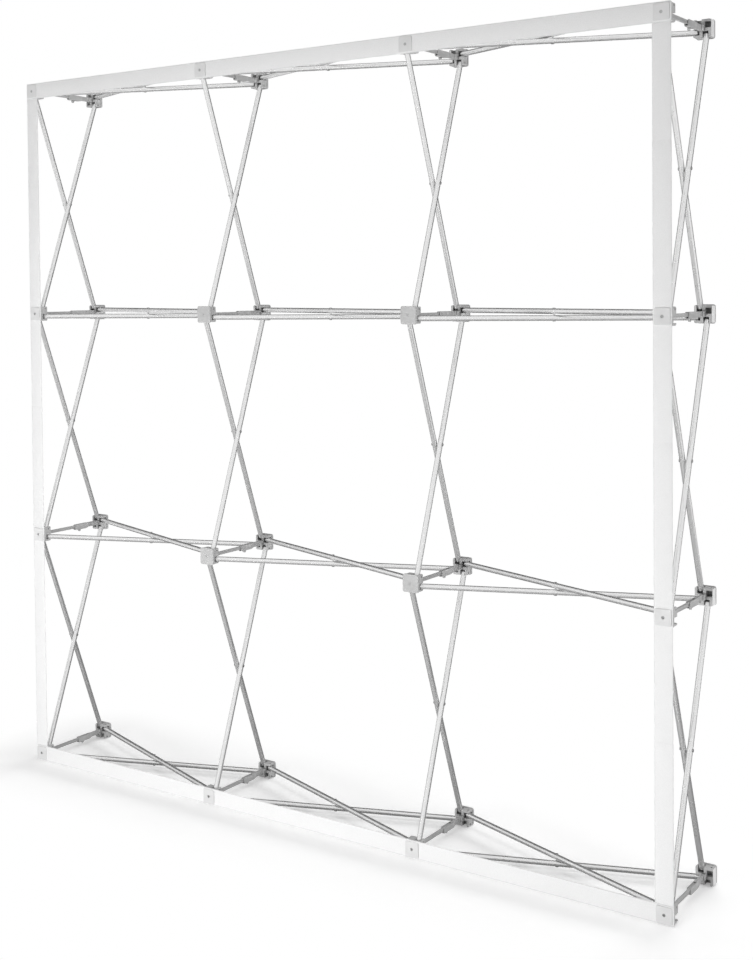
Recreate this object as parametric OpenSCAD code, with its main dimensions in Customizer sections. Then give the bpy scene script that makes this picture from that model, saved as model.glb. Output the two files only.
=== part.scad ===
// Pop up display backwall: a folding scissor frame of three by three bays.
// Millimetres. X runs across the wall, +Y is the back, Z is up. The floor is z = 0.

/* [Frame] */
// Bays across, and bays up
bays = 3; // [3:1:3]
// Hub to hub, both across and up
bay = 735; // [600:5:800]
// Front hub face to back hub face
face_to_face = 295; // [260:5:330]

/* [Tubes] */
// Tube outside diameter
tube_d = 15; // [12:0.5:15.5]
// Tube wall
tube_wall = 1.2; // [0.8:0.1:2]
// Tube axis beside the hub axis, so that the tubes of a pair pass each other
tube_side = 9; // [8:0.1:10]
// Tube length past its end pin
tube_past_pin = 6; // [5:0.5:6]
// Depth of the plastic plug in each tube end
plug_deep = 22; // [12:1:30]
// Length of the plug's nose outside the tube
plug_nose = 2.4; // [1:0.2:2.4]

/* [Hubs] */
// Square hub plate
plate = 50; // [48:1:60]
// Plate thickness
plate_t = 6; // [4:0.5:8]
// Plate corner radius
plate_r = 6; // [2:0.5:10]
// Depth of the whole hub from its face
hub_deep = 29; // [28:0.5:31]
// Step from the plate's edge in to the side of the block behind it
hub_step = 1.5; // [1:0.1:2]
// Hub axis to a tube pin
pin_out = 17; // [17:0.5:20]
// Hub face to a tube pin
pin_deep = 20; // [18:0.5:22]
// Half width of the square core between the pockets
core = 7; // [6.5:0.5:7]
// Depth of a tube pin in the wall beside its pocket
pin_seat = 3; // [2:0.5:3]
// Tube pin diameter
pin_d = 5; // [4:0.5:5]

/* [Lock stay] */
// Hub face to the stay pin
lock_deep = 37; // [36:0.5:40]
// Front arm, pin to tip
lock_arm = 165; // [150:5:170]
// Rear catch, pin to mouth
catch_arm = 100; // [90:5:110]
// Half width of both arms
lock_half = 3.5; // [3:0.1:3.5]
// Half height of the front arm
lock_tall = 5; // [4:0.5:5]
// Half height of the rear catch
catch_tall = 7.5; // [6:0.5:7.5]
// Stay pin diameter
lock_pin_d = 4; // [3:0.5:4]

/* [Loop strips and caps] */
// Strip width
strip = 50; // [40:1:50]
// Room for the strip between a hub face and its cap
strip_t = 2; // [1:0.5:3]
// Square cap side
cap = 42; // [36:1:48]
// Cap thickness
cap_t = 2.5; // [2:0.5:4]

/* [Fits] */
// Radial gap of a pin in the part that turns on it
turn_gap = 0.05; // [0.02:0.01:0.1]
// Side gap between parts that move past each other
side_gap = 0.3; // [0.2:0.05:0.3]

/* [Hidden] */
$fn = 48;
rows = [for (j = [0 : bays]) j];
storeys = [for (j = [0 : bays - 1]) j];
front = -(face_to_face - strip_t - cap_t) / 2; // front hub face
back = front + face_to_face; // back hub face
front_pin = front + pin_deep;
back_pin = back - pin_deep;
rise = bay - 2 * pin_out; // end pin to end pin, along the wall
reach = back_pin - front_pin; // end pin to end pin, front to back
tube_long = sqrt(rise * rise + reach * reach);
lean = atan(reach / rise); // tube angle from the wall's plane
tube_r = tube_d / 2;
bore_r = tube_r - tube_wall;
plug_tip_r = 4.5; // end of the plug's tapered nose
wall_side = bays * bay + plate; // outside size, both ways
block_half = plate / 2 - hub_step;
block_r = 4;
pocket_half = tube_r + side_gap;
pocket_r = pin_out - core; // round of a pocket's inner corner, about its pin
pin_half = pocket_half + pin_seat;
pin_sunk = 1; // pin end below the block's side
sink = 1; // how far one piece of a moulding runs into the next
fixed_gap = 0.05; // round a piece that is fixed in another
pad_deep = 21;
pad_tall = 44;
pad_r = 3;
rivet_head_r = 4.5;
rivet_head_t = 1.6;
ear_r = 7.5; // round end of a lock arm, and of the ears beside it
ear_slot = lock_half + side_gap;
lock_head_r = 3;
lock_head_t = 1;
flute = 0.8; // depth of the hollow in each side of an arm
flute_rim = 2; // bar left above and below its hollow
nose = 3; // length of the hook at the front arm's tip, and of the web that it holds
nose_low = -8.3;
nose_gap = 1;
web_top = -5.3;
catch_half = 6; // half width of the catch's channel
catch_low = -10.5;
catch_floor = -8.8;
shoulder = 12; // slope from the catch's bar to its channel
mouth_bevel = 3;
tip_at = face_to_face - 2 * lock_deep - lock_arm; // front arm's tip, from the catch's pin
tab_at = 75; // finger tab, from the catch's pin
tab_r = 5;
tab_low = -18;
screw_d = 4;
screw_deep = 10;
screw_head_r = 4;
screw_head_t = 1.2;
strip_hole = 6;
strip_gap = 0.1; // on each face of a strip
cap_r = 3;
alu = [0.74, 0.75, 0.77];
plug_grey = [0.2, 0.2, 0.21];
hub_grey = [0.62, 0.63, 0.64];
lock_grey = [0.5, 0.51, 0.52];
steel = [0.66, 0.66, 0.68];
strip_pale = [0.92, 0.92, 0.92];
cap_pale = [0.85, 0.85, 0.86];

function column(i) = (i - bays / 2) * bay;
function level(j) = plate / 2 + j * bay;
function on_edge(i, j) = i == 0 || i == bays || j == 0 || j == bays;

// ---- plain shapes ----

module rod_x(d, long) {
  rotate([0, 90, 0]) cylinder(d = d, h = long, center = true);
}

// A rod along Y, from y = 0.
module rod_y(d, long) {
  rotate([-90, 0, 0]) cylinder(d = d, h = long);
}

// A slab with round corners, its outline in X and Z, from y = 0.
module slab(wide, tall, r, t) {
  rotate([90, 0, 0]) mirror([0, 0, 1]) linear_extrude(t) {
    square([wide - 2 * r, tall], center = true);
    square([wide, tall - 2 * r], center = true);
    for (x = [-1, 1], z = [-1, 1])
      translate([x * (wide / 2 - r), z * (tall / 2 - r)]) circle(r = r);
  }
}

// A pin along X, with a head at each end of its shank.
module headed_pin(d, shank, r, t) {
  rod_x(d, shank);
  for (s = [-1, 1])
    translate([s * (shank + t) / 2, 0, 0]) rod_x(2 * r, t);
}

// ---- places ----

module at_front(i, j) {
  translate([column(i), front, level(j)]) children();
}

// The rear hubs are turned half round the upright axis.
module at_rear(i, j) {
  translate([column(i), back, level(j)]) rotate([0, 0, 180]) children();
}

// A quarter turn about the hub's axis, from the top pocket to the next one.
module quarter(n) {
  rotate([0, 90 * n, 0]) children();
}

// ---- hub: face at y = 0, pockets toward +Y ----

// The top pocket, open outward and away from the face. Its tube leans in the YZ plane, at x = tube_side.
module pocket() {
  translate([tube_side - pocket_half, 0, 0]) rotate([90, 0, 90]) linear_extrude(2 * pocket_half)
    translate([pin_deep, pin_out]) {
      circle(r = pocket_r);
      translate([-pocket_r, 0]) square([pocket_r + hub_deep, plate]);
      translate([0, -pocket_r]) square([hub_deep, pocket_r + plate]);
    }
}

// Hole for the top pocket's pin, which goes in from the block's side.
module pin_hole() {
  translate([tube_side - pin_half, pin_deep, pin_out])
    rotate([0, 90, 0]) cylinder(d = pin_d, h = plate);
}

// In the open pocket a groove in both walls lets the pin out with its tube.
module pin_grooves() {
  wide = pin_d + 2 * turn_gap;
  long = 2 * (pin_half + side_gap);
  translate([tube_side, pin_deep, pin_out]) {
    rod_x(wide, long);
    translate([-long / 2, -wide / 2, 0]) cube([long, wide, plate]);
  }
}

// Two ears that hold the lock arm's pin.
module lock_ears() {
  for (x = [-core, ear_slot]) {
    translate([x, hub_deep - sink, -ear_r])
      cube([core - ear_slot, lock_deep - hub_deep + sink, 2 * ear_r]);
    translate([x + (core - ear_slot) / 2, lock_deep, 0])
      rod_x(2 * ear_r, core - ear_slot);
  }
}

// Four pockets stand round the core like a pinwheel, so that all the tubes can fold flat side by side.
module hub_body(open_pocket) {
  difference() {
    union() {
      slab(plate, plate, plate_r, plate_t);
      translate([0, plate_t - sink, 0])
        slab(2 * block_half, 2 * block_half, block_r, hub_deep - plate_t + sink);
      lock_ears();
    }
    for (n = [0 : 3])
      quarter(n) {
        pocket();
        if (n == open_pocket) pin_grooves();
        else pin_hole();
      }
    translate([0, lock_deep, 0]) rod_x(lock_pin_d, 4 * core);
    translate([0, -1, 0]) rod_y(screw_d, screw_deep + 1);
  }
}

module front_hubs(j) {
  color(hub_grey)
    for (i = rows)
      at_front(i, j) hub_body(3);
}

// A pad of loop pile on the outer side of an end column's rear hub, over the pocket that has no tube.
module side_pad(s) {
  color(strip_pale)
    translate([s * block_half, (plate_t + hub_deep) / 2, 0]) rotate([0, 0, -90 * s])
      translate([0, fixed_gap, 0]) slab(pad_deep, pad_tall, pad_r, hub_step - fixed_gap);
}

module rear_hubs(j) {
  color(hub_grey)
    for (i = rows)
      at_rear(i, j) hub_body(1);
  at_rear(0, j) side_pad(1);
  at_rear(bays, j) side_pad(-1);
}

// ---- pins that stay in the hubs ----

module pocket_pin() {
  low = tube_side - pin_half;
  translate([low, pin_deep, pin_out])
    rotate([0, 90, 0]) cylinder(d = pin_d, h = block_half - pin_sunk - low);
}

module lock_pin() {
  translate([0, lock_deep, 0])
    headed_pin(lock_pin_d, 2 * core, lock_head_r, lock_head_t);
}

// The pocket on the open side has no pin here: that pin rides in its tube.
module hub_pins(i, j, side_pocket) {
  if (j < bays) quarter(0) pocket_pin();
  if (i < bays) quarter(side_pocket) pocket_pin();
  if (j > 0) quarter(2) pocket_pin();
  lock_pin();
}

module front_pins(j) {
  color(steel)
    for (i = rows)
      at_front(i, j) hub_pins(i, j, 1);
}

module rear_pins(j) {
  color(steel)
    for (i = rows)
      at_rear(i, j) hub_pins(i, j, 3);
}

// ---- tubes: first pin at the origin, pins along X, the tube toward +Z ----

module tube() {
  color(alu)
    difference() {
      translate([0, 0, -tube_past_pin])
        cylinder(r = tube_r, h = tube_long + 2 * tube_past_pin);
      translate([0, 0, -tube_past_pin - 1])
        cylinder(r = bore_r, h = tube_long + 2 * tube_past_pin + 2);
      for (z = [0, tube_long / 2, tube_long])
        translate([0, 0, z]) rod_x(pin_d + 2 * turn_gap, 2 * tube_d);
    }
  color(plug_grey)
    for (end = [0, 1])
      translate([0, 0, end * tube_long]) mirror([0, 0, end])
        difference() {
          translate([0, 0, -tube_past_pin - fixed_gap]) {
            cylinder(r = bore_r - fixed_gap, h = plug_deep);
            translate([0, 0, -plug_nose])
              cylinder(r1 = plug_tip_r, r2 = tube_r - fixed_gap, h = plug_nose);
          }
          rod_x(pin_d + 2 * turn_gap, 2 * tube_d);
        }
}

// The middle rivet, which also goes through the pair's other tube.
module rivet() {
  color(steel)
    translate([-tube_side, 0, tube_long / 2])
      headed_pin(pin_d, 2 * (tube_side + pocket_half), rivet_head_r, rivet_head_t);
}

// The far pin of a cross tube, which leaves an open pocket with its tube.
module riding_pin() {
  color(steel)
    translate([0, 0, tube_long]) rod_x(pin_d, 2 * pin_half);
}

module upright_tubes_a(j) {
  for (i = rows)
    translate([column(i) + tube_side, front_pin, level(j) + pin_out]) rotate([-lean, 0, 0]) {
      tube();
      rivet();
    }
}

module upright_tubes_b(j) {
  for (i = rows)
    translate([column(i) - tube_side, back_pin, level(j) + pin_out]) rotate([lean, 0, 0])
      tube();
}

module cross_tube_a(i, j) {
  translate([column(i) + pin_out, front_pin, level(j) - tube_side])
    rotate([0, 0, lean]) rotate([0, 90, 0]) {
      tube();
      rivet();
      riding_pin();
    }
}

module cross_tube_b(i, j) {
  translate([column(i) + pin_out, back_pin, level(j) + tube_side])
    rotate([0, 0, -lean]) rotate([0, 90, 0]) {
      tube();
      riding_pin();
    }
}

// ---- lock stays: pin at the origin, the arm toward +Y ----

// An outline in Y and Z, extruded across the arm.
module side_profile(half, points) {
  translate([-half, 0, 0]) rotate([90, 0, 90]) linear_extrude(2 * half) polygon(points);
}

// A round boss on the pin and a bar with the given outline, hollowed on both sides.
module arm_bar(tall, flute_end, points) {
  difference() {
    union() {
      rod_x(2 * ear_r, 2 * lock_half);
      side_profile(lock_half, points);
    }
    rod_x(lock_pin_d + 2 * turn_gap, 4 * lock_half);
    for (x = [-lock_half - 1, lock_half - flute])
      translate([x, 2 * ear_r, flute_rim - tall])
        cube([flute + 1, flute_end - 2 * ear_r, 2 * (tall - flute_rim)]);
  }
}

// The hook's nose has a sloped lead, so that it snaps over the web when it is pushed down.
module lock_arm_body() {
  arm_bar(lock_tall, lock_arm - ear_r, [
    [0, -lock_tall], [lock_arm - nose, -lock_tall], [lock_arm - nose, nose_low],
    [lock_arm - nose / 2, nose_low], [lock_arm, -lock_tall], [lock_arm, lock_tall], [0, lock_tall]
  ]);
}

// A channel, open at its top and mouth, which takes the front arm's tip.
module catch_body() {
  room = tip_at - nose; // back end of the channel's hollow
  neck = room - shoulder;
  arm_bar(catch_tall, neck - shoulder / 2, [
    [0, -catch_tall], [neck + sink, -catch_tall], [neck + sink, catch_tall], [0, catch_tall]
  ]);
  difference() {
    side_profile(catch_half, [
      [neck, catch_tall], [neck, -catch_tall], [room - nose, catch_low],
      [catch_arm - mouth_bevel, catch_low], [catch_arm, catch_low + mouth_bevel],
      [catch_arm, catch_tall - mouth_bevel], [catch_arm - mouth_bevel, catch_tall]
    ]);
    translate([-ear_slot, room, catch_floor])
      cube([2 * ear_slot, catch_arm, catch_tall - catch_floor + 1]);
  }
  translate([-ear_slot - sink, tip_at + nose + nose_gap, catch_floor - sink])
    cube([2 * (ear_slot + sink), nose, web_top - catch_floor + sink]);
  translate([catch_half / 2, tab_at, tab_low + tab_r]) rod_x(2 * tab_r, catch_half);
  translate([0, tab_at - tab_r, tab_low + tab_r])
    cube([catch_half, 2 * tab_r, catch_low - tab_low - tab_r + sink]);
}

module lock_arms(j) {
  color(lock_grey)
    for (i = rows)
      at_front(i, j) translate([0, lock_deep, 0]) lock_arm_body();
}

module lock_catches(j) {
  color(lock_grey)
    for (i = rows)
      at_rear(i, j) translate([0, lock_deep, 0]) catch_body();
}

// ---- loop strips, with the caps that hold them on the outer hubs ----

module cap_and_screw() {
  color(cap_pale)
    difference() {
      translate([0, -strip_t - cap_t, 0]) slab(cap, cap, cap_r, cap_t);
      translate([0, -strip_t - cap_t - 1, 0]) {
        rod_y(screw_d, cap_t + 2);
        rod_y(2 * screw_head_r, screw_head_t + 1);
      }
    }
  color(steel)
    translate([0, -strip_t - cap_t, 0]) {
      rod_y(screw_d - 2 * fixed_gap, strip_t + cap_t + screw_deep - fixed_gap);
      rod_y(2 * (screw_head_r - fixed_gap), screw_head_t - fixed_gap);
    }
}

module strip_caps(j) {
  for (i = rows)
    if (on_edge(i, j)) at_front(i, j) cap_and_screw();
}

// A strip's blank, with its lower left corner at x, z.
module strip_blank(x, z, wide, tall) {
  translate([x, front - strip_t + strip_gap, z])
    cube([wide, strip_t - 2 * strip_gap, tall]);
}

module strip_holes() {
  for (i = rows, j = rows)
    at_front(i, j) translate([0, -strip_t - 1, 0]) rod_y(strip_hole, strip_t + 2);
}

module strip_across(j) {
  color(strip_pale)
    difference() {
      strip_blank(-wall_side / 2, level(j) - strip / 2, wall_side, strip);
      strip_holes();
    }
  strip_caps(j);
}

module strip_sides() {
  low = level(0) + strip / 2 + side_gap;
  high = level(bays) - strip / 2 - side_gap;
  color(strip_pale)
    for (i = [0, bays])
      difference() {
        strip_blank(column(i) - strip / 2, low, strip, high - low);
        strip_holes();
      }
}

for (j = rows) {
  front_hubs(j);
  front_pins(j);
  rear_hubs(j);
  rear_pins(j);
  lock_arms(j);
  lock_catches(j);
  for (i = storeys) {
    cross_tube_a(i, j);
    cross_tube_b(i, j);
  }
}
for (j = storeys) {
  upright_tubes_a(j);
  upright_tubes_b(j);
}
for (j = [1 : bays - 1])
  strip_caps(j);
strip_across(0);  // strip_bottom
strip_across(bays);  // strip_top
strip_sides();
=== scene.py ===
import math

import bmesh
import bpy
from mathutils import Matrix, Vector


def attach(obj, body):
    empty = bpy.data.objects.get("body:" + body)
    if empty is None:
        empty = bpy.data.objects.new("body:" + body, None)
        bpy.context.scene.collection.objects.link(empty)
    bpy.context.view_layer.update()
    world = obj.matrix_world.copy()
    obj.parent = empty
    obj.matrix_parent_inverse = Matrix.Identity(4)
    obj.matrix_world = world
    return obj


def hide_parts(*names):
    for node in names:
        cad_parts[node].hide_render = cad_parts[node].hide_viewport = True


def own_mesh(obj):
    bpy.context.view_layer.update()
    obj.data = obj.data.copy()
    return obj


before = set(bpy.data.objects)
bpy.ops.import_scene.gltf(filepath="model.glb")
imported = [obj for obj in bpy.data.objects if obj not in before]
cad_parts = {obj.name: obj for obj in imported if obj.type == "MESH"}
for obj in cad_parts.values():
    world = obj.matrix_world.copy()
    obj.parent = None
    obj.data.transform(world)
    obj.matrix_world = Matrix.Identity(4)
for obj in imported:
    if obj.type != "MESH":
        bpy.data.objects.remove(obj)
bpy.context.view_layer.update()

# ---- measures, the same as in the part's source ----
BAYS, BAY, DEPTH = 3, 0.735, 0.295
PLATE, PLATE_T, PLATE_R = 0.050, 0.006, 0.006
TUBE_R, TUBE_WALL, TUBE_SIDE, PAST_PIN = 0.0075, 0.0012, 0.009, 0.006
PLUG_DEEP, PLUG_NOSE, PLUG_TIP_R = 0.022, 0.0024, 0.0045
HUB_DEEP, HUB_STEP, PIN_OUT, PIN_DEEP = 0.029, 0.0015, 0.017, 0.020
CORE, PIN_SEAT, SIDE_GAP = 0.007, 0.003, 0.0003
BLOCK_HALF, BLOCK_R = PLATE / 2 - HUB_STEP, 0.004
POCKET_HALF = TUBE_R + SIDE_GAP
POCKET_R = PIN_OUT - CORE
PIN_HALF = POCKET_HALF + PIN_SEAT
PIN_R, PIN_SUNK = 0.0025, 0.001
PAD_DEEP, PAD_TALL, PAD_R = 0.021, 0.044, 0.003
RIVET_HEAD_R, RIVET_HEAD_T = 0.0045, 0.0016
LOCK_DEEP, LOCK_ARM, CATCH_ARM = 0.037, 0.165, 0.100
LOCK_HALF, LOCK_TALL, CATCH_TALL, EAR_R = 0.0035, 0.005, 0.0075, 0.0075
EAR_SLOT = LOCK_HALF + SIDE_GAP
LOCK_PIN_R, LOCK_HEAD_R, LOCK_HEAD_T = 0.002, 0.003, 0.001
FLUTE, FLUTE_RIM = 0.0008, 0.002
NOSE, NOSE_LOW, NOSE_GAP = 0.003, -0.0083, 0.001
WEB_TOP = -0.0053
CATCH_HALF, CATCH_LOW, CATCH_FLOOR = 0.006, -0.0105, -0.0088
SHOULDER, MOUTH_BEVEL = 0.012, 0.003
TAB_AT, TAB_R, TAB_LOW = 0.075, 0.005, -0.018
STRIP, STRIP_ROOM, STRIP_FACE = 0.050, 0.002, 0.0001
CAP, CAP_T, CAP_R = 0.042, 0.0025, 0.003
SCREW_HEAD_R, SCREW_HEAD_T = 0.004, 0.0012

FRONT = -(DEPTH - STRIP_ROOM - CAP_T) / 2
BACK = FRONT + DEPTH
FRONT_PIN, BACK_PIN = FRONT + PIN_DEEP, BACK - PIN_DEEP
RISE, REACH = BAY - 2 * PIN_OUT, BACK_PIN - FRONT_PIN
TUBE_LONG = math.hypot(RISE, REACH)
LEAN = math.atan2(REACH, RISE)
TIP_AT = DEPTH - 2 * LOCK_DEEP - LOCK_ARM
FULL_HALF = BAYS * BAY / 2 + PLATE / 2
ROWS = range(BAYS + 1)
STOREYS = range(BAYS)

# ---- measures of the small forms that only the dressed part has ----
LAP = 0.001                 # how far shapes run into each other where they are joined or cut
HAIR = 0.00005              # room round a fitted piece
NEAR_ROUND = 0.98           # share of a half width that still rounds it without closing the edge
PLATE_EDGE, BLOCK_EDGE, FINE_EDGE, PAD_EDGE = 0.0009, 0.0006, 0.0003, 0.0005
MOUTH_R, POCKET_FLOOR_R = 0.0009, 0.0012
DISH_R, DISH_FLOOR_R, DISH_DEEP = 0.0055, 0.0050, 0.0004
HOLE_R, HOLE_DEEP, SLOT_R = 0.0022, 0.012, 0.0022
DRILL = 0.04                # longer than any pin
PIN_HOLE_R, PIN_CHAMFER = PIN_R + HAIR, 0.0004
HOLE_PLUG_R, HOLE_PLUG_END = HOLE_R + HAIR, 0.009
WALL_LIP = 0.0003
COLLAR, COLLAR_R = 0.0045, TUBE_R - 0.0001
LOCK_EDGE, FLUTE_EDGE, TAB_EDGE, BOSS_EDGE = 0.0007, 0.0008, 0.0008, 0.0006
BOSS_HALF = LOCK_HALF - 0.00004         # a hair thinner than the bar, so that no faces coincide
BAR_TALL = CATCH_TALL - 0.0001          # and the catch's bar a hair lower than its boss
CAP_EDGE = 0.0007
SCREW_SHANK_R, SCREW_END, CROSS_LONG, CROSS_HALF, CROSS_DEEP = 0.0019, 0.013, 0.0023, 0.0005, 0.0009
STRIP_EDGE, SELVAGE, SELVAGE_BLEND = 0.0006, 0.0024, 0.0004
STRIP_PITCH, EDGE_WAVE, FACE_WAVE = 0.012, 0.0001, 0.00008


def column(i):
    return (i - BAYS / 2) * BAY


def level(j):
    return PLATE / 2 + j * BAY


def on_edge(i, j):
    return i in (0, BAYS) or j in (0, BAYS)


def move(x, y, z):
    return Matrix.Translation((x, y, z))


def turn(degrees, axis):
    return Matrix.Rotation(math.radians(degrees), 4, axis)


def leaning(x, y, z, angle, axis):
    return move(x, y, z) @ Matrix.Rotation(angle, 4, axis)


def quarter(n):
    return turn(90 * n, "Y")


def front_place(i, j):
    return move(column(i), FRONT, level(j))


def rear_place(i, j):
    return move(column(i), BACK, level(j)) @ turn(180, "Z")


# ---- shapes ----
CLEAR_EDGE = math.radians(30)           # an edge that turns by more is softened
CRISP_EDGE = math.radians(32)           # and one that still turns by more than this shades sharp


def soften(bm, width, steps=2):
    """Rounds every clear edge of a shape."""
    edges = [e for e in bm.edges if e.is_manifold and e.calc_face_angle(0) > CLEAR_EDGE]
    bmesh.ops.bevel(bm, geom=edges, offset=width, segments=steps, profile=0.5, affect="EDGES",
                    material=-1, clamp_overlap=True)


def shape(bm, name="shape"):
    """The finished mesh of a bmesh, smooth, with its normals outward."""
    bmesh.ops.remove_doubles(bm, verts=bm.verts, dist=1e-6)
    bmesh.ops.recalc_face_normals(bm, faces=bm.faces)
    for face in bm.faces:
        face.smooth = True
    mesh = bpy.data.meshes.new(name)
    bm.to_mesh(mesh)
    bm.free()
    return mesh


def block(low, high, soft, steps=2):
    """A box between two corners, with softened edges."""
    bm = bmesh.new()
    bmesh.ops.create_cube(bm, size=1)
    size = [b - a for a, b in zip(low, high)]
    middle = [(a + b) / 2 for a, b in zip(low, high)]
    bmesh.ops.transform(bm, matrix=move(*middle) @ Matrix.Diagonal((*size, 1)), verts=bm.verts)
    soften(bm, soft, steps)
    return shape(bm)


def corners(half_a, half_b, radius):
    """The outline of a rectangle round the middle, with rounded corners."""
    return [(a * half_a, b * half_b, radius) for a, b in ((-1, -1), (1, -1), (1, 1), (-1, 1))]


def cut_out(points, start, thick, soft=0.0005, steps=2, plane="YZ"):
    """A plate with the outline of the points, each (a, b) or (a, b, corner radius), along the third axis."""
    lay = {"YZ": lambda a, b: (start, a, b), "XZ": lambda a, b: (a, start, b)}[plane]
    along = {"YZ": (thick, 0, 0), "XZ": (0, thick, 0)}[plane]
    bm = bmesh.new()
    verts = [bm.verts.new(lay(p[0], p[1])) for p in points]
    bm.faces.new(verts)
    for vert, point in zip(verts, points):
        if len(point) > 2:
            bmesh.ops.bevel(bm, geom=[vert], offset=point[2], segments=7, profile=0.5,
                            affect="VERTICES", material=-1)
    made = bmesh.ops.extrude_face_region(bm, geom=bm.faces[:])
    moved = [v for v in made["geom"] if isinstance(v, bmesh.types.BMVert)]
    bmesh.ops.translate(bm, vec=along, verts=moved)
    bmesh.ops.recalc_face_normals(bm, faces=bm.faces)
    if soft:
        soften(bm, soft, steps)
    return shape(bm)


def turned(profile, steps=40, closed=False, place=None):
    """A profile of (radius, height) points, turned round the Z axis."""
    bm = bmesh.new()
    verts = [bm.verts.new((r, 0, z)) for r, z in profile]
    edges = [bm.edges.new(pair) for pair in zip(verts, verts[1:])]
    if closed:
        edges.append(bm.edges.new((verts[-1], verts[0])))
    bmesh.ops.spin(bm, geom=verts + edges, cent=(0, 0, 0), axis=(0, 0, 1), dvec=(0, 0, 0),
                   angle=2 * math.pi, steps=steps, use_merge=True, use_duplicate=False)
    if place is not None:
        bmesh.ops.transform(bm, matrix=place, verts=bm.verts)
    return shape(bm)


def combined(shapes, operation):
    """One mesh from several: the first with the others joined to it, or cut from it."""
    objects = [bpy.data.objects.new("work", mesh) for mesh in shapes]
    for thing in objects:
        bpy.context.scene.collection.objects.link(thing)
    for tool in objects[1:]:
        step = objects[0].modifiers.new("step", "BOOLEAN")
        step.operation, step.object, step.solver = operation, tool, "EXACT"
    ready = objects[0].evaluated_get(bpy.context.evaluated_depsgraph_get())
    mesh = bpy.data.meshes.new_from_object(ready)
    for thing in objects:
        bpy.data.objects.remove(thing)
    return mesh


def joined(*shapes):
    return combined(shapes, "UNION")


def cut(mesh, *tools):
    return combined([mesh, *tools], "DIFFERENCE")


def placed(mesh, matrix):
    copy = mesh.copy()
    copy.transform(matrix)
    return copy


def assemble(name, body, parts, replaces=()):
    """One piece of several shapes: parts is a list of (mesh, material, places)."""
    bm = bmesh.new()
    own = bm.verts.layers.float_vector.new("own")
    mesh = bpy.data.meshes.new(name)
    for index, (source, material, places) in enumerate(parts):
        mesh.materials.append(material)
        for place in places:
            verts_before, faces_before = len(bm.verts), len(bm.faces)
            bm.from_mesh(source)
            verts, faces = bm.verts[verts_before:], bm.faces[faces_before:]
            for vert in verts:
                vert[own] = vert.co
            for face in faces:
                face.material_index = index
                face.smooth = True
            bmesh.ops.transform(bm, matrix=place, verts=verts)
    bm.to_mesh(mesh)
    bm.free()
    mesh.set_sharp_from_angle(angle=CRISP_EDGE)
    piece = bpy.data.objects.new(name, mesh)
    bpy.context.scene.collection.objects.link(piece)
    even = piece.modifiers.new("even shading", "WEIGHTED_NORMAL")
    even.keep_sharp = True
    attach(piece, body)
    if replaces:
        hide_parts(*replaces)
    return piece


# ---- finishes ----
def fill(tree, node, values):
    """Sets a node's inputs. A value is a plain one, or the socket that feeds it."""
    for name, value in values.items():
        if isinstance(value, bpy.types.NodeSocket):
            tree.links.new(value, node.inputs[name])
        else:
            node.inputs[name].default_value = value


def put(tree, kind, values=None, **settings):
    """A new node, with its settings and its inputs."""
    made = tree.nodes.new("ShaderNode" + kind)
    for name, value in settings.items():
        setattr(made, name, value)
    fill(tree, made, values or {})
    return made


def colours_mixed(tree, share, dark, light):
    """A colour between two, each an (r, g, b) or a socket. 6, 7 and 2 are the Mix node's colour sockets."""
    dark, light = (c if isinstance(c, bpy.types.NodeSocket) else (*c, 1) for c in (dark, light))
    return put(tree, "Mix", {"Factor": share, 6: dark, 7: light}, data_type="RGBA").outputs[2]


def tone(tree, mask, dark, light, low=0.35, high=0.65):
    """A colour between two, by where a mask stands between low and high."""
    share = put(tree, "MapRange", {"Value": mask, "From Min": low, "From Max": high})
    return colours_mixed(tree, share.outputs[0], dark, light)


def grey(value):
    return (value, value, value)


def finish(name):
    """A new material with its Principled shader."""
    material = bpy.data.materials.new(name)
    material.use_nodes = True
    tree = material.node_tree
    shader = next(n for n in tree.nodes if n.type == "BSDF_PRINCIPLED")
    return material, tree, shader


def effect(name, takes, gives):
    """An empty shader group, with its named inputs and outputs."""
    group = bpy.data.node_groups.new(name, "ShaderNodeTree")
    for label, kind, value in takes:
        socket = group.interface.new_socket(name=label, in_out="INPUT", socket_type="NodeSocket" + kind)
        if value is not None:
            socket.default_value = value
    for label in gives:
        group.interface.new_socket(name=label, in_out="OUTPUT", socket_type="NodeSocketFloat")
    return group, group.nodes.new("NodeGroupInput").outputs, group.nodes.new("NodeGroupOutput")


def grain_effect():
    """Fine moulded grain: a height, and slow patches of tone."""
    group, takes, gives = effect(
        "moulded grain", [("Where", "Vector", None), ("Grain per metre", "Float", 1600.0)],
        ["Height", "Patches"])
    fine = put(group, "TexNoise", {"Vector": takes["Where"], "Scale": takes["Grain per metre"],
                                   "Detail": 2.0})
    slow = put(group, "TexNoise", {"Vector": takes["Where"], "Scale": 14.0, "Detail": 3.0})
    fill(group, gives, {"Height": fine.outputs["Fac"], "Patches": slow.outputs["Fac"]})
    return group


def wear_effect():
    """Rubbed edges: a mask from how far an edge stands out, broken up by noise."""
    group, takes, gives = effect(
        "edge wear", [("Where", "Vector", None), ("Edge", "Float", 0.5), ("Amount", "Float", 0.5)], ["Mask"])
    sharp = put(group, "MapRange", {"Value": takes["Edge"], "From Min": 0.52, "From Max": 0.62})
    patch = put(group, "TexNoise", {"Vector": takes["Where"], "Scale": 60.0, "Detail": 4.0})
    uneven = put(group, "MapRange", {"Value": patch.outputs["Fac"], "From Min": 0.4, "From Max": 0.62})
    both = put(group, "Math", {0: sharp.outputs[0], 1: uneven.outputs[0]}, operation="MULTIPLY")
    scaled = put(group, "Math", {0: both.outputs[0], 1: takes["Amount"]}, operation="MULTIPLY")
    fill(group, gives, {"Mask": scaled.outputs[0]})
    return group


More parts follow.
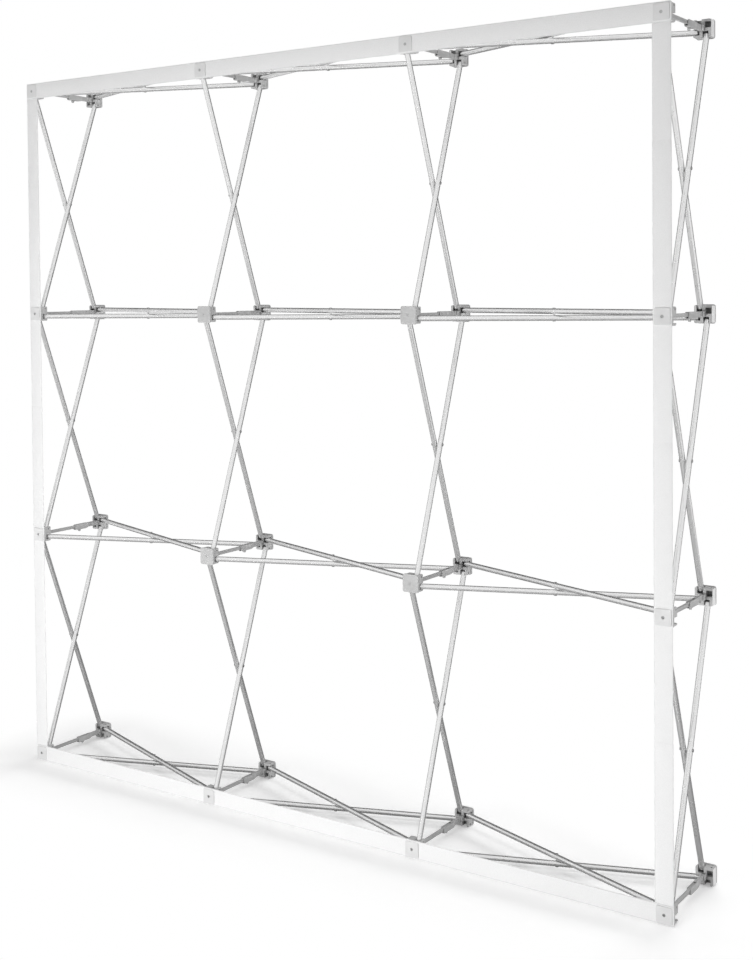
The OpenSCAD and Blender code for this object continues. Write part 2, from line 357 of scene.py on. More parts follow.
def painted_nook_shade_effect():
    """Painted shade in recesses: how much of a colour is left in a nook, from how open it is."""
    group, takes, gives = effect(
        "painted nook shade", [("Open", "Float", 1.0), ("Darkest", "Float", 0.4)], ["Share"])
    share = put(group, "MapRange", {"Value": takes["Open"], "From Min": 0.2, "From Max": 0.9, "To Max": 1.0,
                                    "To Min": takes["Darkest"]}, interpolation_type="SMOOTHSTEP")
    fill(group, gives, {"Share": share.outputs[0]})
    return group


def drawn_effect():
    """Drawn lines along a tube, from the tube's own place: fine round it, long down it."""
    group, takes, gives = effect(
        "drawn lines", [("Own", "Vector", None), ("Where", "Vector", None)], ["Lines", "Marks"])
    stretch = put(group, "VectorMath", {0: takes["Own"], 1: (2600.0, 2600.0, 9.0)}, operation="MULTIPLY")
    lines = put(group, "TexNoise", {"Vector": stretch.outputs[0], "Scale": 1.0, "Detail": 3.0})
    marks = put(group, "TexNoise", {"Vector": takes["Where"], "Scale": 22.0, "Detail": 5.0,
                                    "Roughness": 0.62})
    fill(group, gives, {"Lines": lines.outputs["Fac"], "Marks": marks.outputs["Fac"]})
    return group


def pile_effect():
    """Short loop pile: the height of small round loops in uneven rows, with fuzz on them."""
    group, takes, gives = effect(
        "loop pile", [("Where", "Vector", None), ("Loops per metre", "Float", 900.0)], ["Height"])
    bend = put(group, "TexNoise", {"Vector": takes["Where"], "Scale": 240.0, "Detail": 2.0})
    shift = put(group, "VectorMath", {0: bend.outputs["Color"], 1: (0.0012, 0.0012, 0.0012)},
                operation="MULTIPLY")
    bent = put(group, "VectorMath", {0: takes["Where"], 1: shift.outputs[0]}, operation="ADD")
    loops = put(group, "TexVoronoi", {"Vector": bent.outputs[0], "Scale": takes["Loops per metre"]})
    fuzz = put(group, "TexNoise", {"Vector": takes["Where"], "Scale": 3200.0, "Detail": 3.0})
    high = put(group, "MapRange", {"Value": loops.outputs["Distance"], "From Min": 0.0, "From Max": 0.7,
                                   "To Min": 1.0, "To Max": 0.0})
    mixed = put(group, "Math", {0: fuzz.outputs["Fac"], 1: 0.5, 2: high.outputs[0]}, operation="MULTIPLY_ADD")
    fill(group, gives, {"Height": mixed.outputs[0]})
    return group


GRAIN, WEAR, PAINTED_NOOK_SHADE, DRAWN, PILE = grain_effect(), wear_effect(), painted_nook_shade_effect(), drawn_effect(), pile_effect()


def moulded(name, value, rubbed, rough=0.46, wear=0.5, grain=1600.0, nook=0.016):
    """Moulded plastic: fine grain, slow patches, paler rubbed edges, and shade painted into its nooks from
    ambient occlusion.
    """
    material, tree, shader = finish(name)
    where = put(tree, "TexCoord").outputs["Object"]
    edge = put(tree, "NewGeometry").outputs["Pointiness"]
    look = put(tree, "Group", {"Where": where, "Grain per metre": grain}, node_tree=GRAIN).outputs
    worn = put(tree, "Group", {"Where": where, "Edge": edge, "Amount": wear}, node_tree=WEAR).outputs["Mask"]
    # Painted shade: the colour darkens where ambient occlusion, within the nook distance, finds the moulding
    # closed in, as in its pockets, slots and gaps.
    opened = put(tree, "AmbientOcclusion", {"Distance": nook}, samples=8, only_local=True).outputs["AO"]
    left = put(tree, "Group", {"Open": opened, "Darkest": 0.12}, node_tree=PAINTED_NOOK_SHADE).outputs["Share"]
    patches = tone(tree, look["Patches"], grey(value * 0.93), grey(value * 1.04))
    clean = colours_mixed(tree, worn, patches, grey(rubbed))
    dull = put(tree, "MapRange", {"Value": look["Patches"], "To Min": rough - 0.07, "To Max": rough + 0.08})
    bump = put(tree, "Bump", {"Height": look["Height"], "Strength": 0.22, "Distance": 0.0002})
    fill(tree, shader, {"Base Color": colours_mixed(tree, left, grey(value * 0.1), clean),
                        "Roughness": dull.outputs[0], "Normal": bump.outputs[0]})
    return material


def drawn_aluminium():
    """Satin anodised tube with drawn lines, and faint scuffs that change its gloss."""
    material, tree, shader = finish("satin drawn aluminium")
    where = put(tree, "TexCoord").outputs["Object"]
    own = put(tree, "Attribute", attribute_name="own").outputs["Vector"]
    look = put(tree, "Group", {"Own": own, "Where": where}, node_tree=DRAWN).outputs
    dull = put(tree, "MapRange", {"Value": look["Marks"], "From Min": 0.3, "From Max": 0.7,
                                  "To Min": 0.22, "To Max": 0.34})
    bump = put(tree, "Bump", {"Height": look["Lines"], "Strength": 0.08, "Distance": 0.00003})
    fill(tree, shader, {"Base Color": tone(tree, look["Lines"], grey(0.77), grey(0.85), 0.25, 0.75),
                        "Roughness": dull.outputs[0], "Normal": bump.outputs[0], "Metallic": 0.78})
    return material


def steel(name, value, rough=0.34):
    """Plain steel of pins and screws, with a fine grain in its gloss."""
    material, tree, shader = finish(name)
    where = put(tree, "TexCoord").outputs["Object"]
    look = put(tree, "Group", {"Where": where, "Grain per metre": 2400.0}, node_tree=GRAIN).outputs
    dull = put(tree, "MapRange", {"Value": look["Height"], "To Min": rough - 0.06, "To Max": rough + 0.08})
    bump = put(tree, "Bump", {"Height": look["Height"], "Strength": 0.15, "Distance": 0.0001})
    fill(tree, shader, {"Base Color": tone(tree, look["Patches"], grey(value * 0.9), grey(value * 1.06)),
                        "Roughness": dull.outputs[0], "Normal": bump.outputs[0], "Metallic": 0.9})
    return material


def loop_pile():
    """Pale hook-and-loop strip, its loop side out, with a flat woven selvage along both edges."""
    material, tree, shader = finish("pale loop pile")
    where = put(tree, "TexCoord").outputs["Object"]
    own = put(tree, "Attribute", attribute_name="own").outputs["Vector"]
    look = put(tree, "Group", {"Where": where}, node_tree=PILE).outputs
    across = put(tree, "SeparateXYZ", {"Vector": own}).outputs["X"]
    off_middle = put(tree, "Math", {0: across}, operation="ABSOLUTE")
    selvage_at = STRIP / 2 - SELVAGE
    selvage = put(tree, "MapRange", {"Value": off_middle.outputs[0], "From Min": selvage_at - SELVAGE_BLEND,
                                     "From Max": selvage_at + SELVAGE_BLEND}).outputs[0]
    # Painted shade: the pile is darker where its loops are low, between the loops, and paler on their tops.
    # The fuzz in the height adds a random tone as well.
    pile = tone(tree, look["Height"], grey(0.86), grey(0.95), 0.2, 1.0)
    flatter = put(tree, "MapRange", {"Value": selvage, "To Min": 1.0, "To Max": 0.15})
    height = put(tree, "Math", {0: look["Height"], 1: flatter.outputs[0]}, operation="MULTIPLY")
    bump = put(tree, "Bump", {"Height": height.outputs[0], "Strength": 0.5, "Distance": 0.0004})
    fill(tree, shader, {"Base Color": colours_mixed(tree, selvage, pile, grey(0.80)),
                        "Normal": bump.outputs[0], "Roughness": 0.92,
                        "Sheen Weight": 0.25, "Sheen Roughness": 0.5})
    return material


hub_grey = moulded("hub moulding", 0.53, 0.66)
lock_grey = moulded("lock moulding", 0.50, 0.66, rough=0.40, nook=0.006)
plug_grey = moulded("tube plug", 0.05, 0.10, rough=0.55, wear=0.3)
cap_pale = moulded("strip cap", 0.77, 0.84, rough=0.5, wear=0.3, grain=1900.0)
tube_alu = drawn_aluminium()
pin_steel = steel("pin steel", 0.60)
screw_steel = steel("screw steel", 0.50, 0.4)
strip_pile = loop_pile()


# ---- hubs ----
def pinwheel():
    """The block's outline in X and Z, with the four pockets open to its sides."""
    near, far, out = TUBE_SIDE - POCKET_HALF, TUBE_SIDE + POCKET_HALF, BLOCK_HALF
    quarter_outline = [(near, out, MOUTH_R), (near, CORE, POCKET_FLOOR_R), (far, CORE, POCKET_FLOOR_R),
                       (far, out, MOUTH_R), (out, out, BLOCK_R)]
    points = []
    for n in range(4):
        points += quarter_outline
        quarter_outline = [(z, -x, r) for x, z, r in quarter_outline]
    return points


def pocket_floor():
    """What fills a pocket behind its tube, with a round about the pin."""
    arc = [(PIN_DEEP + POCKET_R * math.cos(a), PIN_OUT + POCKET_R * math.sin(a))
           for a in [math.radians(-90 - 7.5 * n) for n in range(13)]]
    outline = [(PLATE_T - LAP, CORE - LAP), (PIN_DEEP, CORE - LAP), *arc,
               (PIN_DEEP - POCKET_R, BLOCK_HALF), (PLATE_T - LAP, BLOCK_HALF)]
    return cut_out(outline, TUBE_SIDE - POCKET_HALF - LAP, 2 * (POCKET_HALF + LAP), 0)


def hub(open_pocket):
    """Face at y = 0, a block with four tube pockets behind it, and two ears for the lock stay."""
    plate = cut_out(corners(PLATE / 2, PLATE / 2, PLATE_R), 0, PLATE_T, PLATE_EDGE, 3, "XZ")
    core = cut_out(pinwheel(), PLATE_T - LAP, HUB_DEEP - PLATE_T + LAP, BLOCK_EDGE, 3, "XZ")
    root, end, rounded = HUB_DEEP - LAP, LOCK_DEEP + EAR_R, EAR_R * NEAR_ROUND
    ear = [(root, -EAR_R), (end, -EAR_R, rounded), (end, EAR_R, rounded), (root, EAR_R)]
    ears = [cut_out(ear, low, CORE - EAR_SLOT) for low in (-CORE, EAR_SLOT)]
    floors = [placed(pocket_floor(), quarter(n)) for n in range(4)]

    dish = turned([(0, -LAP), (DISH_R, -LAP), (DISH_FLOOR_R, DISH_DEEP), (HOLE_R, DISH_DEEP + 0.0001),
                   (HOLE_R, HOLE_DEEP), (0, HOLE_DEEP)], 32, place=turn(-90, "X"))
    drill = turned([(0, 0), (PIN_HOLE_R, 0), (PIN_HOLE_R, DRILL), (0, DRILL)], 28, place=turn(90, "Y"))
    reach = PIN_HALF + SIDE_GAP
    slot = block((-reach, -PIN_HOLE_R, -PIN_HOLE_R), (reach, PIN_HOLE_R, DRILL / 2), SLOT_R, 4)
    at_pin = move(TUBE_SIDE, PIN_DEEP, PIN_OUT)
    holes = [placed(slot if n == open_pocket else drill, quarter(n) @ at_pin) for n in range(4)]
    return cut(joined(plate, core, *ears, *floors), dish, *holes)


def pin(radius, shank, head_r, head_t, steps=28):
    """Along X: a shank with a domed head at each end."""
    end, rim = shank / 2, 0.35
    dome = [(head_r * math.cos(a), end + head_t * (rim + (1 - rim) * math.sin(a)))
            for a in [math.radians(d) for d in (0, 18, 38, 58, 75)]]
    half = [(radius, end - 0.0001), (head_r * 0.93, end), (head_r, end + head_t * 0.12), *dome,
            (0, end + head_t)]
    return turned([(r, -z) for r, z in reversed(half)] + half, steps, place=turn(90, "Y"))


def plain_pin(low, high):
    """Along X, with a small chamfer at each end."""
    tip = PIN_R - PIN_CHAMFER
    return turned([(0, low), (tip, low), (PIN_R, low + PIN_CHAMFER), (PIN_R, high - PIN_CHAMFER), (tip, high),
                   (0, high)], 28, place=turn(90, "Y"))


def hole_plug():
    """Closes the screw hole of a hub that has no cap: a low dome, pressed in."""
    return turned([(0, 0.0008), (0.0014, 0.0009), (0.0021, 0.0013), (HOLE_PLUG_R, 0.0018),
                   (HOLE_PLUG_R, HOLE_PLUG_END), (0, HOLE_PLUG_END)], 32, place=turn(-90, "X"))


def side_pad(side):
    """A pad of loop pile on the outer side of an end hub."""
    pad = cut_out(corners(PAD_DEEP / 2, PAD_TALL / 2, PAD_R), HAIR, HUB_STEP - 2 * HAIR, PAD_EDGE, 3, "XZ")
    return placed(pad, move(side * BLOCK_HALF, (PLATE_T + HUB_DEEP) / 2, 0) @ turn(-90 * side, "Z"))


def pin_places(i, j, place, side_pocket):
    """The pockets of one hub that have a pin of their own."""
    pockets = [n for n, there in ((0, j < BAYS), (side_pocket, i < BAYS), (2, j > 0)) if there]
    return [place @ quarter(n) for n in pockets]


pocket_pin = placed(plain_pin(TUBE_SIDE - PIN_HALF, BLOCK_HALF - PIN_SUNK), move(0, PIN_DEEP, PIN_OUT))
lock_pin = placed(pin(LOCK_PIN_R, 2 * CORE, LOCK_HEAD_R, LOCK_HEAD_T, 24), move(0, LOCK_DEEP, 0))
bare_plug = hole_plug()
hub_sides = (("front", hub(open_pocket=3), front_place, 1), ("rear", hub(open_pocket=1), rear_place, 3))
for j in ROWS:
    for side, mesh, place_of, side_pocket in hub_sides:
        row = f"{side}_row_{j}"
        places = [place_of(i, j) for i in ROWS]
        bare = [place for i, place in enumerate(places) if side == "rear" or not on_edge(i, j)]
        assemble(f"{side}_hub_mouldings_{j}", row,
                 [(mesh, hub_grey, places), (bare_plug, hub_grey, bare)], [f"{side}_hubs_{j}"])
        pocket_places = [p for i in ROWS for p in pin_places(i, j, place_of(i, j), side_pocket)]
        assemble(f"{side}_hub_pins_{j}", row,
                 [(pocket_pin, pin_steel, pocket_places), (lock_pin, pin_steel, places)],
                 [f"{side}_pins_{j}"])
    assemble(f"side_pads_{j}", f"rear_row_{j}",
             [(side_pad(1), strip_pile, [rear_place(0, j)]),
              (side_pad(-1), strip_pile, [rear_place(BAYS, j)])],
             [f"rear_hubs_{j}"])


# ---- tubes, from the first pin toward +Z ----
def tube_wall():
    """The open tube between the collars of its two plugs."""
    bore, low, high = TUBE_R - TUBE_WALL, COLLAR - PAST_PIN, TUBE_LONG + PAST_PIN - COLLAR
    lip = WALL_LIP
    return turned([(bore, low + lip), (bore + lip, low), (TUBE_R - lip, low), (TUBE_R, low + lip),
                   (TUBE_R, high - lip), (TUBE_R - lip, high), (bore + lip, high), (bore, high - lip)],
                  48, closed=True)


def tube_plug():
    """The plug of a tube end, with a collar over the wall's end and a nose past it."""
    fit, back = TUBE_R - TUBE_WALL - HAIR, COLLAR - HAIR
    return turned([(0, -PLUG_NOSE), (PLUG_TIP_R - 0.0008, -PLUG_NOSE), (PLUG_TIP_R, -PLUG_NOSE + 0.0003),
                   (COLLAR_R - 0.0008, -0.0005), (COLLAR_R - 0.0002, -0.0001), (COLLAR_R, 0.0003),
                   (COLLAR_R, back), (fit, back), (fit, PLUG_DEEP), (0, PLUG_DEEP)], 40)


wall_shape, plug_shape = tube_wall(), tube_plug()
at_end = move(0, 0, -PAST_PIN)
plug_ends = [at_end, move(0, 0, TUBE_LONG) @ turn(180, "X") @ at_end]
rivet = placed(pin(PIN_R, 2 * (TUBE_SIDE + POCKET_HALF), RIVET_HEAD_R, RIVET_HEAD_T),
               move(-TUBE_SIDE, 0, TUBE_LONG / 2))
riding_pin = placed(plain_pin(-PIN_HALF, PIN_HALF), move(0, 0, TUBE_LONG))


def dress_tubes(name, body, places, node, steel_parts):
    """The tubes of one node, with their plugs and the steel that rides with them."""
    plugs = [place @ end for place in places for end in plug_ends]
    parts = [(wall_shape, tube_alu, places), (plug_shape, plug_grey, plugs)]
    parts += [(mesh, pin_steel, places) for mesh in steel_parts]
    assemble(name, body, parts, [node])


for j in STOREYS:
    low = level(j) + PIN_OUT
    rising = [leaning(column(i) + TUBE_SIDE, FRONT_PIN, low, -LEAN, "X") for i in ROWS]
    falling = [leaning(column(i) - TUBE_SIDE, BACK_PIN, low, LEAN, "X") for i in ROWS]
    dress_tubes(f"upright_pair_a_{j}", f"uprights_a_{j}", rising, f"upright_tubes_a_{j}", [rivet])
    dress_tubes(f"upright_pair_b_{j}", f"uprights_b_{j}", falling, f"upright_tubes_b_{j}", [])
for j in ROWS:
    for i in STOREYS:
        start = column(i) + PIN_OUT
        near = leaning(start, FRONT_PIN, level(j) - TUBE_SIDE, LEAN, "Z") @ turn(90, "Y")
        far = leaning(start, BACK_PIN, level(j) + TUBE_SIDE, -LEAN, "Z") @ turn(90, "Y")
        for way, place, steel_parts in (("a", near, [rivet, riding_pin]), ("b", far, [riding_pin])):
            dress_tubes(f"cross_pair_{way}_{i}_{j}", f"cross_{way}_{i}_{j}", [place],
                        f"cross_tube_{way}_{i}_{j}", steel_parts)


# ---- lock stays, pin at the origin, the arm toward +Y ----
def boss():
    """The round end on its pin."""
    rim = EAR_R - BOSS_EDGE
    return turned([(0, -BOSS_HALF), (rim, -BOSS_HALF), (EAR_R, -BOSS_HALF + BOSS_EDGE),
                   (EAR_R, BOSS_HALF - BOSS_EDGE), (rim, BOSS_HALF), (0, BOSS_HALF)], 48, place=turn(90, "Y"))


def flutes(tall, end):
    """What is cut from both sides of a bar to hollow them."""
    half = tall - FLUTE_RIM
    return [block((x, 2 * EAR_R, -half), (x + FLUTE + LAP, end, half), FLUTE_EDGE, 3)
            for x in (-LOCK_HALF - LAP, LOCK_HALF - FLUTE)]


def lock_arm():
    """A slim bar with hollowed sides, whose tip turns down into a hook."""
    hook = LOCK_ARM - NOSE
    bar = cut_out([(0, -LOCK_TALL), (hook, -LOCK_TALL), (hook, NOSE_LOW, 0.0006),
                   (LOCK_ARM - NOSE / 2, NOSE_LOW, 0.0006), (LOCK_ARM, -LOCK_TALL, 0.0006),
                   (LOCK_ARM, LOCK_TALL, 0.002), (0, LOCK_TALL)], -LOCK_HALF, 2 * LOCK_HALF, LOCK_EDGE, 3)
    return cut(joined(boss(), bar), *flutes(LOCK_TALL, LOCK_ARM - EAR_R))


def lock_catch():
    """A bar that widens to a mouth for the arm, with the hook's web in it and a finger tab below."""
    room = TIP_AT - NOSE
    neck = room - SHOULDER
    low, high, end = CATCH_LOW, CATCH_TALL, CATCH_ARM
    bar = block((-LOCK_HALF, 0.0003, -BAR_TALL), (LOCK_HALF, neck + 0.004, BAR_TALL), LOCK_EDGE, 3)
    shell = cut_out([(neck - LAP, high, 0.001), (neck - LAP, -high, 0.001), (room - NOSE, low, 0.003),
                     (end - MOUTH_BEVEL, low, 0.001), (end, low + MOUTH_BEVEL, 0.001),
                     (end, high - MOUTH_BEVEL, 0.001), (end - MOUTH_BEVEL, high, 0.001)],
                    -CATCH_HALF, 2 * CATCH_HALF, LOCK_EDGE, 3)
    hollow = block((-EAR_SLOT, room, CATCH_FLOOR), (EAR_SLOT, end + 0.02, high + 0.02), FINE_EDGE)
    channel = cut(joined(boss(), bar, shell), hollow)
    web_at = TIP_AT + NOSE + NOSE_GAP
    web = block((-EAR_SLOT - LAP, web_at, CATCH_FLOOR - LAP), (EAR_SLOT + LAP, web_at + NOSE, WEB_TOP),
                FINE_EDGE)
    rounded = TAB_R * NEAR_ROUND
    tab = cut_out([(TAB_AT - TAB_R, TAB_LOW, rounded), (TAB_AT + TAB_R, TAB_LOW, rounded),
                   (TAB_AT + TAB_R, low + LAP), (TAB_AT - TAB_R, low + LAP)],
                  0.0001, CATCH_HALF - 0.0002, TAB_EDGE, 3)
    return cut(joined(channel, web, tab), *flutes(BAR_TALL, neck - SHOULDER / 2))


arm_shape, catch_shape = lock_arm(), lock_catch()
stay = move(0, LOCK_DEEP, 0)
for j in ROWS:
    assemble(f"lock_arm_mouldings_{j}", f"arms_{j}",
             [(arm_shape, lock_grey, [front_place(i, j) @ stay for i in ROWS])], [f"lock_arms_{j}"])
    assemble(f"lock_catch_mouldings_{j}", f"catches_{j}",
             [(catch_shape, lock_grey, [rear_place(i, j) @ stay for i in ROWS])], [f"lock_catches_{j}"])


# ---- caps and screws ----
CAP_FACE = -STRIP_ROOM - CAP_T


def strip_cap():
    """A square cap over the strip, with a room for the screw's head."""
    plate = cut_out(corners(CAP / 2, CAP / 2, CAP_R), CAP_FACE, CAP_T, CAP_EDGE, 3, "XZ")
    hole_r, through = 0.0021, 0.006
    recess = turned([(0, -LAP), (SCREW_HEAD_R + 0.0004, -LAP), (SCREW_HEAD_R, SCREW_HEAD_T),
                     (hole_r, SCREW_HEAD_T + 0.0001), (hole_r, through), (0, through)], 32,
                    place=move(0, CAP_FACE, 0) @ turn(-90, "X"))
    return cut(plate, recess)


def cap_screw():
    """A pan head with a cross recess, set in the cap."""
    rim = SCREW_HEAD_R - 0.0002
    head = turned([(0, 0.0001), (rim * 0.6, 0.00015), (rim * 0.9, 0.0004), (rim, 0.0007), (rim, SCREW_HEAD_T),
                   (SCREW_SHANK_R, SCREW_HEAD_T), (SCREW_SHANK_R, SCREW_END), (0, SCREW_END + LAP)], 32)
    cross = [block((-a, -b, -LAP), (a, b, CROSS_DEEP), 0.0001, 1)
             for a, b in ((CROSS_HALF, CROSS_LONG), (CROSS_LONG, CROSS_HALF))]
    return placed(cut(head, *cross), move(0, CAP_FACE, 0) @ turn(-90, "X"))


cap_shape, screw_shape = strip_cap(), cap_screw()
for j in ROWS:
    places = [front_place(i, j) for i in ROWS if on_edge(i, j)]
    node = {0: "strip_bottom", BAYS: "strip_top"}.get(j, f"strip_caps_{j}")
    assemble(f"strip_cap_plates_{j}", f"front_row_{j}", [(cap_shape, cap_pale, places)], [node])
    assemble(f"cap_screws_{j}", f"front_row_{j}", [(screw_shape, screw_steel, places)])


# ---- loop strips ----
def loop_strip(name, body, low, high, along, sunk=0.0):
    """A strip of loop pile between two corners in X and Z, in its room under the caps."""
    axis, side = (Vector((1, 0, 0)), 2) if along == "X" else (Vector((0, 0, 1)), 0)
    start, end = (low[0], high[0]) if along == "X" else (low[1], high[1])
    near, far = FRONT - STRIP_ROOM + STRIP_FACE + 0.0001 + sunk, FRONT - STRIP_FACE - 0.0002 - sunk
    size = [high[0] - low[0], far - near, high[1] - low[1]]
    middle = ((low[0] + high[0]) / 2, (near + far) / 2, (low[1] + high[1]) / 2)
    size[side] *= 1 - 2 * EDGE_WAVE / STRIP
    bm = bmesh.new()
    bmesh.ops.create_cube(bm, size=1)
    bmesh.ops.transform(bm, matrix=move(*middle) @ Matrix.Diagonal((*size, 1)), verts=bm.verts)
    soften(bm, STRIP_EDGE, 3)
    for n in range(1, int((end - start) / STRIP_PITCH)):
        bmesh.ops.bisect_plane(bm, geom=bm.verts[:] + bm.edges[:] + bm.faces[:],
                               plane_co=axis * (start + n * STRIP_PITCH), plane_no=axis)
    own = bm.verts.layers.float_vector.new("own")
    for vert in bm.verts:
        s = vert.co.dot(axis)
        vert[own] = (vert.co[side] - middle[side], s, 0)
        vert.co.y += FACE_WAVE * math.sin(s * 23.0) * math.sin(s * 7.0 + 0.6)
        vert.co[side] += EDGE_WAVE * math.sin(s * 31.0 + 1.0)
    mesh = shape(bm, name)
    mesh.materials.append(strip_pile)
    piece = bpy.data.objects.new(name, mesh)
    bpy.context.scene.collection.objects.link(piece)
    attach(piece, body)
    return piece


for j, node in ((0, "strip_bottom"), (BAYS, "strip_top")):
    strip = loop_strip(f"loop_{node}", f"front_row_{j}",
                       (-FULL_HALF, level(j) - STRIP / 2), (FULL_HALF, level(j) + STRIP / 2),
                       "X")
    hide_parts(node)

# A side strip crumples as the frame folds, so each storey has two overlapping lengths, one from each hub.
# The upper one lies a little inside the lower one's faces.
FOLDED_SHARE, REACH_SHARE, NESTED = 0.08, 0.58, 0.00025
side_low, side_high = level(0) + STRIP / 2 + SIDE_GAP, level(BAYS) - STRIP / 2 - SIDE_GAP
for i, where in ((0, "left"), (BAYS, "right")):
    for j in STOREYS:
        bottom, top = max(side_low, level(j)), min(side_high, level(j + 1))
        for part, row, sunk, held, ends in (
                ("lower", j, 0.0, bottom, (bottom, level(j) + REACH_SHARE * BAY)),
                ("upper", j + 1, NESTED, top, (level(j + 1) - REACH_SHARE * BAY, top))):
            half = STRIP / 2 - sunk
            strip = loop_strip(f"loop_strip_{where}_{j}_{part}", f"front_row_{row}",
                               (column(i) - half, ends[0]), (column(i) + half, ends[1]),
                               "Z", sunk)
            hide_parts("strip_sides")
            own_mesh(strip)


# ---- studio ----
WHITE, BLACK = (1, 1, 1, 1), (0, 0, 0, 1)
SHADOW_ENDS = 0.03, 0.32                # how far from the frame the floor starts and ends turning white
FLOOR_LIFT, SKY_LIGHT = 0.26, 0.32
VIEW_TURN, WRAP_LEFT, WRAP_RIGHT = 34, math.radians(56), math.radians(95)
WRAP_OUTLINE = [(5.5, 0.002), (5.5, 3.6), (4.6, 5.0), (0.9, 5.6)]


def stage_piece(name, mesh, material):
    """A piece of the studio, which isn't part of the object."""
    mesh.materials.append(material)
    thing = bpy.data.objects.new(name, mesh)
    bpy.context.scene.collection.objects.link(thing)
    return thing


def seen_rays(tree, *kinds):
    """1 for a ray of one of the kinds, else 0."""
    outputs = put(tree, "LightPath").outputs
    either = outputs[kinds[0]]
    for kind in kinds[1:]:
        either = put(tree, "Math", {0: either, 1: outputs[kind]}, operation="MAXIMUM").outputs[0]
    return either


def floor():
    """A pale floor that keeps the shadow near the object, and runs out to white."""
    material, tree, shader = finish("studio floor")
    where = put(tree, "TexCoord").outputs["Object"]
    mottle = put(tree, "TexNoise", {"Vector": where, "Scale": 3.0, "Detail": 2.0})
    fill(tree, shader, {"Base Color": tone(tree, mottle.outputs["Fac"], grey(0.925), grey(0.935)),
                        "Roughness": 0.9, "Specular IOR Level": 0.1})
    size = put(tree, "VectorMath", {0: where}, operation="ABSOLUTE")
    past = put(tree, "VectorMath", {0: size.outputs[0], 1: (FULL_HALF, DEPTH / 2, 0.0)}, operation="SUBTRACT")
    clear = put(tree, "VectorMath", {0: past.outputs[0], 1: (0.0, 0.0, 0.0)}, operation="MAXIMUM")
    away = put(tree, "VectorMath", {0: clear.outputs[0]}, operation="LENGTH")
    far = put(tree, "MapRange", {"Value": away.outputs["Value"], "From Min": SHADOW_ENDS[0],
                                 "From Max": SHADOW_ENDS[1]}, interpolation_type="SMOOTHSTEP")
    rays = seen_rays(tree, "Is Camera Ray", "Is Glossy Ray")
    share = put(tree, "Math", {0: far.outputs[0], 1: rays}, operation="MULTIPLY")
    white = put(tree, "Emission", {"Color": WHITE, "Strength": 1.0})
    lift = put(tree, "Emission", {"Color": WHITE, "Strength": FLOOR_LIFT})
    none = put(tree, "Emission", {"Color": BLACK, "Strength": 0.0})
    lifted = put(tree, "MixShader", {0: rays, 1: none.outputs[0], 2: lift.outputs[0]})
    near = put(tree, "AddShader", {0: shader.outputs[0], 1: lifted.outputs[0]})
    mixed = put(tree, "MixShader", {0: share.outputs[0], 1: near.outputs[0], 2: white.outputs[0]})
    output = next(n for n in tree.nodes if n.type == "OUTPUT_MATERIAL")
    fill(tree, output, {"Surface": mixed.outputs[0]})
    bm = bmesh.new()
    bmesh.ops.create_grid(bm, x_segments=8, y_segments=8, size=30)
    stage_piece("studio_floor", shape(bm, "studio_floor"), material)


def sky():
    """White where it is seen or mirrored, and plain soft light elsewhere."""
    world = bpy.data.worlds.new("studio")
    bpy.context.scene.world = world
    world.use_nodes = True
    tree = world.node_tree
    tree.nodes.clear()
    rays = seen_rays(tree, "Is Camera Ray", "Is Glossy Ray", "Is Transmission Ray")
    light = put(tree, "Background", {"Color": WHITE, "Strength": SKY_LIGHT})
    white = put(tree, "Background", {"Color": WHITE, "Strength": 1.0})
    mixed = put(tree, "MixShader", {0: rays, 1: light.outputs[0], 2: white.outputs[0]})
    put(tree, "OutputWorld", {"Surface": mixed.outputs[0]})


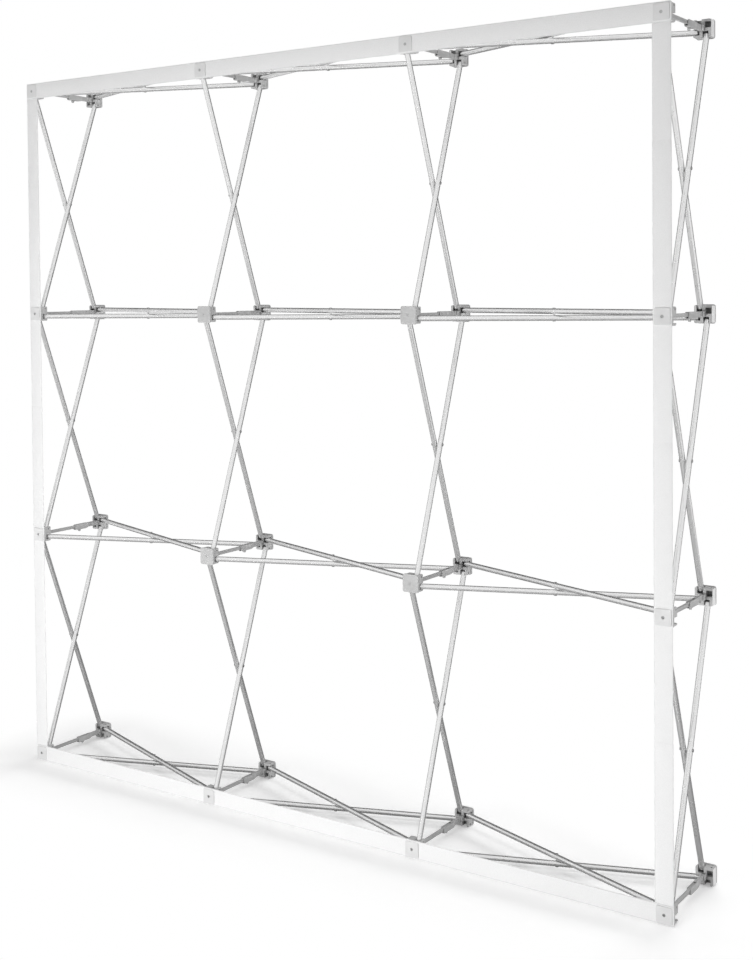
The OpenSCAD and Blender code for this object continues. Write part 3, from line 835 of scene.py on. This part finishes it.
def black_wrap():
    """Dark cloth round and over the stage, seen only in reflections, for the tubes' darker edges."""
    material, tree, shader = finish("black cloth")
    where = put(tree, "TexCoord").outputs["Object"]
    depth = put(tree, "SeparateXYZ", {"Vector": where}).outputs["Y"]
    fill(tree, shader, {"Base Color": tone(tree, depth, grey(0.58), grey(0.10), -0.4, 0.4), "Roughness": 0.9})
    bm = bmesh.new()
    verts = [bm.verts.new((r * math.sin(WRAP_RIGHT), r * math.cos(WRAP_RIGHT), z)) for r, z in WRAP_OUTLINE]
    edges = [bm.edges.new(pair) for pair in zip(verts, verts[1:])]
    bmesh.ops.spin(bm, geom=verts + edges, cent=(0, 0, 0), axis=(0, 0, 1), dvec=(0, 0, 0),
                   angle=WRAP_RIGHT + WRAP_LEFT, steps=24, use_merge=False, use_duplicate=False)
    bmesh.ops.transform(bm, matrix=turn(VIEW_TURN, "Z"), verts=bm.verts)
    bmesh.ops.create_grid(bm, x_segments=4, y_segments=4, size=0.5,
                          matrix=move(0, 0.9, 0.002) @ Matrix.Diagonal((5.6, 7.2, 1, 1)))
    thing = stage_piece("studio_black_wrap", shape(bm, "studio_black_wrap"), material)
    thing.visible_camera = thing.visible_diffuse = thing.visible_shadow = thing.visible_transmission = False


def lamp(name, at, toward, size, watts):
    """A soft lamp that nothing mirrors."""
    light = bpy.data.lights.new(name, "AREA")
    light.shape, light.size, light.size_y, light.energy = "RECTANGLE", size[0], size[1], watts
    thing = bpy.data.objects.new(name, light)
    bpy.context.scene.collection.objects.link(thing)
    thing.location = at
    thing.rotation_mode = "QUATERNION"
    thing.rotation_quaternion = (Vector(toward) - Vector(at)).to_track_quat("-Z", "Y")
    thing.visible_camera = thing.visible_glossy = False


def camera():
    """At the photograph's viewing angle, from the right and a little above the middle."""
    azimuth, elevation, roll = (math.radians(d) for d in (34.11, 1.57, -0.51))
    back = Vector((math.sin(azimuth) * math.cos(elevation), -math.cos(azimuth) * math.cos(elevation),
                   math.sin(elevation)))
    right = (-back).cross(Vector((0, 0, 1))).normalized()
    up = right.cross(-back)
    right, up = right * math.cos(roll) + up * math.sin(roll), up * math.cos(roll) - right * math.sin(roll)
    data = bpy.data.cameras.new("camera")
    data.sensor_width, data.lens, data.shift_y = 36, 51.84, -0.1601
    thing = bpy.data.objects.new("camera", data)
    bpy.context.scene.collection.objects.link(thing)
    thing.matrix_world = move(2.4085, -3.3123, 1.569) @ Matrix((right, up, back)).transposed().to_4x4()
    bpy.context.scene.camera = thing


floor()
sky()
black_wrap()
lamp("front softbox", (-0.25, -3.2, 0.42), (-0.1, 0, 0.5), (2.2, 0.8), 66)
lamp("side softbox", (3.6, 0.7, 1.2), (0, 0.1, 1.1), (2.4, 2.0), 34)
lamp("top softbox", (0.0, 0.6, 4.6), (0, 0.4, 0), (3.4, 2.6), 36)
lamp("back softbox", (0.3, 4.5, 2.1), (0, 0, 0), (4.0, 1.2), 120)
camera()
bpy.context.scene.view_settings.view_transform = "Standard"
